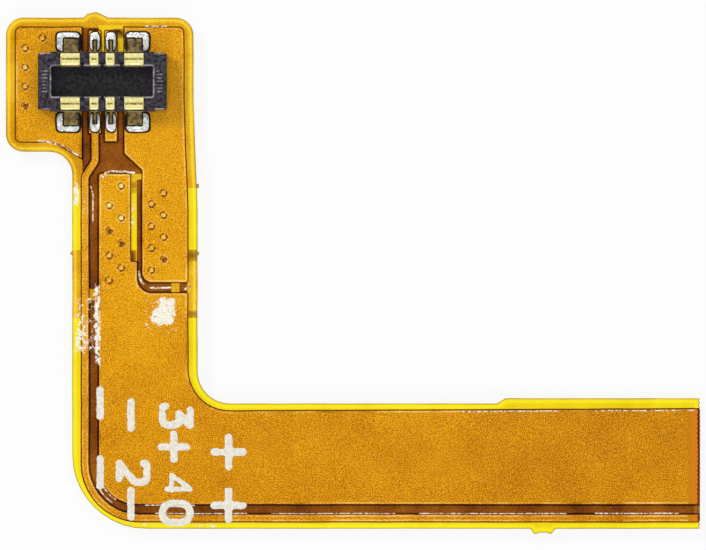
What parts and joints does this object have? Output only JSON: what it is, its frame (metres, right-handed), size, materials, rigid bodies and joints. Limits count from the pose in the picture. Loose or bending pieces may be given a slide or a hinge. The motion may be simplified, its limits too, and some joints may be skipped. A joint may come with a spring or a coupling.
{
  "type": "battery flexible circuit lead",
  "caption": "L-shaped flexible printed circuit lead for a battery, with a low board plug on its stiffened head and a straight tail.",
  "frame": {"origin": "under the plug's centre, on the underside of the stiffeners", "axes": "+X along the tail towards its cut end, +Y up the arm towards the head, +Z out of the plug's mouth"},
  "size_m": [0.0173, 0.0131, 0.001],
  "materials": {
    "polyimide_film": "glossy amber film",
    "copper_foil": "rolled copper foil",
    "polyimide_board": "matt amber board",
    "bonding_sheet": "cured adhesive sheet",
    "plug_polymer": "moulded black polymer",
    "gold_plating": "bright gold plating",
    "solder": "bright solder",
    "legend_ink": "white screen print"
  },
  "bodies": {
    "root": {"base_film": "polyimide_film", "top_cover_film": "polyimide_film", "bottom_cover_film": "polyimide_film", "head_copper": "copper_foil", "positive_copper": "copper_foil", "main_copper": "copper_foil", "sense_copper": "copper_foil", "signal_pad_1": "copper_foil", "signal_pad_2": "copper_foil", "signal_pad_3": "copper_foil", "back_negative_copper": "copper_foil", "back_positive_copper": "copper_foil", "head_vias": "copper_foil", "negative_vias": "copper_foil", "positive_vias": "copper_foil", "head_stiffener": "polyimide_board", "arm_stiffener": "polyimide_board", "head_bond": "bonding_sheet", "arm_bond": "bonding_sheet", "plug_housing": "plug_polymer", "power_contact_1": "gold_plating", "power_contact_2": "gold_plating", "power_contact_3": "gold_plating", "power_contact_4": "gold_plating", "signal_contact_1": "gold_plating", "signal_contact_2": "gold_plating", "signal_contact_3": "gold_plating", "signal_contact_4": "gold_plating", "power_solder_1": "solder", "power_solder_2": "solder", "power_solder_3": "solder", "power_solder_4": "solder", "signal_solder_1": "solder", "signal_solder_2": "solder", "signal_solder_3": "solder", "signal_solder_4": "solder", "print_marks": "legend_ink"}
  },
  "joints": []
}
